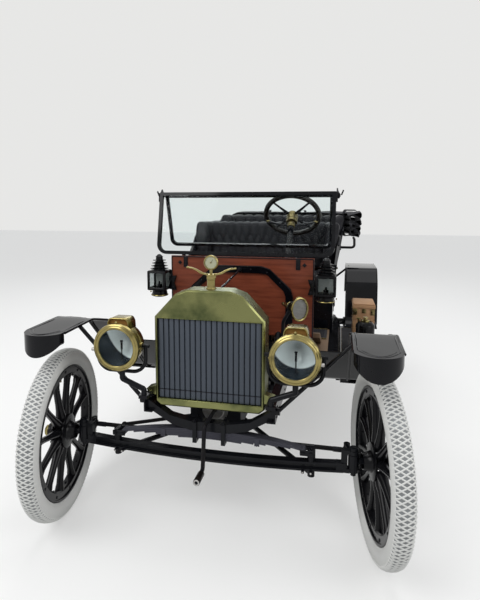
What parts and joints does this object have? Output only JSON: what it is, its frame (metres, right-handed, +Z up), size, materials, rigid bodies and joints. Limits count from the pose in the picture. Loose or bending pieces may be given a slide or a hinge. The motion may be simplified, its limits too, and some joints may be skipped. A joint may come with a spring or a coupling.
{
  "type": "brass-era open touring car",
  "caption": "Open touring car with brass radiator, acetylene headlamps, wooden spoked wheels, fold-down windshield and tufted seats; hood off, top folded; steers, rolls, doors open.",
  "frame": {"origin": "on the floor under the middle of the overall length and width", "axes": "+X to the car's left side, +Y rearward, +Z up"},
  "size_m": [1.716, 3.398, 1.5367],
  "materials": {
    "chassis_paint": "satin black, worn",
    "body_paint": "deep gloss black",
    "lamp_enamel": "gloss black enamel",
    "core_paint": "matt blue-black",
    "brass": "polished, slightly tarnished",
    "spring_steel": "oiled dark steel",
    "dark_iron": "black iron",
    "bare_iron": "dull iron",
    "cast_iron": "painted casting",
    "varnished_wood": "varnished red-brown",
    "floor_wood": "oiled boards",
    "box_wood": "waxed brown",
    "wheel_wood": "black painted",
    "white_rubber": "off-white rubber",
    "leather": "black tufted",
    "top_cloth": "black coated cloth",
    "glass": "clear"
  },
  "bodies": {
    "chassis": {"frame": "chassis_paint", "front_axle": "chassis_paint", "springs": "spring_steel", "wishbone": "chassis_paint", "rear_axle": "chassis_paint", "radiator_shell": "brass", "radiator_core": "core_paint", "radiator_cap": "brass", "starting_crank": "dark_iron", "engine": "cast_iron", "manifold": "bare_iron", "exhaust": "bare_iron", "firewall": "varnished_wood", "hood_former": "body_paint", "stay_rod": "dark_iron", "windshield_lower": "body_paint", "pane_lower": "glass", "headlamps": "brass", "headlamp_lenses": "glass", "lamp_forks": "dark_iron", "oil_lamps": "lamp_enamel", "oil_lamp_glass": "glass", "horn": "brass", "front_fenders": "body_paint", "rear_fenders": "body_paint", "running_boards": "body_paint", "gas_generator": "lamp_enamel", "wooden_box": "box_wood", "body_front": "body_paint", "body_rear": "body_paint", "floorboards": "floor_wood", "seat_cushions": "leather", "seat_backs": "leather", "folded_top": "top_cloth", "top_irons": "dark_iron", "steering_column": "dark_iron", "controls": "dark_iron"},
    "knuckle_left": {"knuckle_left": "chassis_paint"},
    "knuckle_right": {"knuckle_right": "chassis_paint"},
    "tie_rod": {"tie_rod": "dark_iron", "drag_link": "dark_iron"},
    "pitman_arm": {"pitman_arm": "dark_iron"},
    "steering_wheel": {"steering_wheel": "wheel_wood"},
    "windshield_upper": {"windshield_upper": "body_paint", "pane_upper": "glass"},
    "door_left": {"door_left": "body_paint"},
    "door_right": {"door_right": "body_paint"},
    "wheel_front_left": {"wheel_front_left": "wheel_wood", "tyre_front_left": "white_rubber"},
    "wheel_front_right": {"wheel_front_right": "wheel_wood", "tyre_front_right": "white_rubber"},
    "wheel_rear_left": {"wheel_rear_left": "wheel_wood", "tyre_rear_left": "white_rubber"},
    "wheel_rear_right": {"wheel_rear_right": "wheel_wood", "tyre_rear_right": "white_rubber"}
  },
  "joints": [
    {"name": "steer_left", "type": "hinge", "parent": "chassis", "child": "knuckle_left", "pos_m": [0.612, -1.3053, 0.381], "axis": [0, 0, 1], "range_deg": [-42, 22]},
    {"name": "roll_front_left", "type": "hinge", "parent": "knuckle_left", "child": "wheel_front_left", "pos_m": [0.7095, -1.28811, 0.381], "axis": [0.9848, 0.1736, 0], "continuous": true},
    {"name": "roll_rear_left", "type": "hinge", "parent": "chassis", "child": "wheel_rear_left", "pos_m": [0.711, 1.2347, 0.381], "axis": [1, 0, 0], "continuous": true},
    {"name": "steer_right", "type": "hinge", "parent": "chassis", "child": "knuckle_right", "pos_m": [-0.612, -1.3053, 0.381], "axis": [0, 0, 1], "range_deg": [-42, 22]},
    {"name": "roll_front_right", "type": "hinge", "parent": "knuckle_right", "child": "wheel_front_right", "pos_m": [-0.7095, -1.32249, 0.381], "axis": [0.9848, 0.1736, 0], "continuous": true},
    {"name": "roll_rear_right", "type": "hinge", "parent": "chassis", "child": "wheel_rear_right", "pos_m": [-0.711, 1.2347, 0.381], "axis": [1, 0, 0], "continuous": true},
    {"name": "tie_rod_swing", "type": "hinge", "parent": "knuckle_left", "child": "tie_rod", "pos_m": [0.58769, -1.16743, 0.381], "axis": [0, 0, 1], "range_deg": [-22, 42]},
    {"name": "pitman_swing", "type": "hinge", "parent": "chassis", "child": "pitman_arm", "pos_m": [0.215, -0.0053, 1.384], "axis": [0, 0.7133, 0.7009], "range_deg": [-42, 22]},
    {"name": "steering_turn", "type": "hinge", "parent": "chassis", "child": "steering_wheel", "pos_m": [0.215, -0.0053, 1.384], "axis": [0, 0.7133, 0.7009], "range_deg": [-168, 88]},
    {"name": "windshield_fold", "type": "hinge", "parent": "chassis", "child": "windshield_upper", "pos_m": [0, -0.5246, 1.49672], "axis": [1, 0, 0], "range_deg": [0, 158]},
    {"name": "door_left_swing", "type": "hinge", "parent": "chassis", "child": "door_left", "pos_m": [0.506, 0.3467, 0.8], "axis": [0, 0, 1], "range_deg": [-75, 0]},
    {"name": "door_right_swing", "type": "hinge", "parent": "chassis", "child": "door_right", "pos_m": [-0.506, 0.3467, 0.8], "axis": [0, 0, 1], "range_deg": [0, 75]}
  ],
  "couplings": [
    {"joint": "steer_right", "follows": "steer_left", "ratio": 1},
    {"joint": "tie_rod_swing", "follows": "steer_left", "ratio": -1},
    {"joint": "pitman_swing", "follows": "steer_left", "ratio": 1},
    {"joint": "steering_turn", "follows": "steer_left", "ratio": 4}
  ]
}
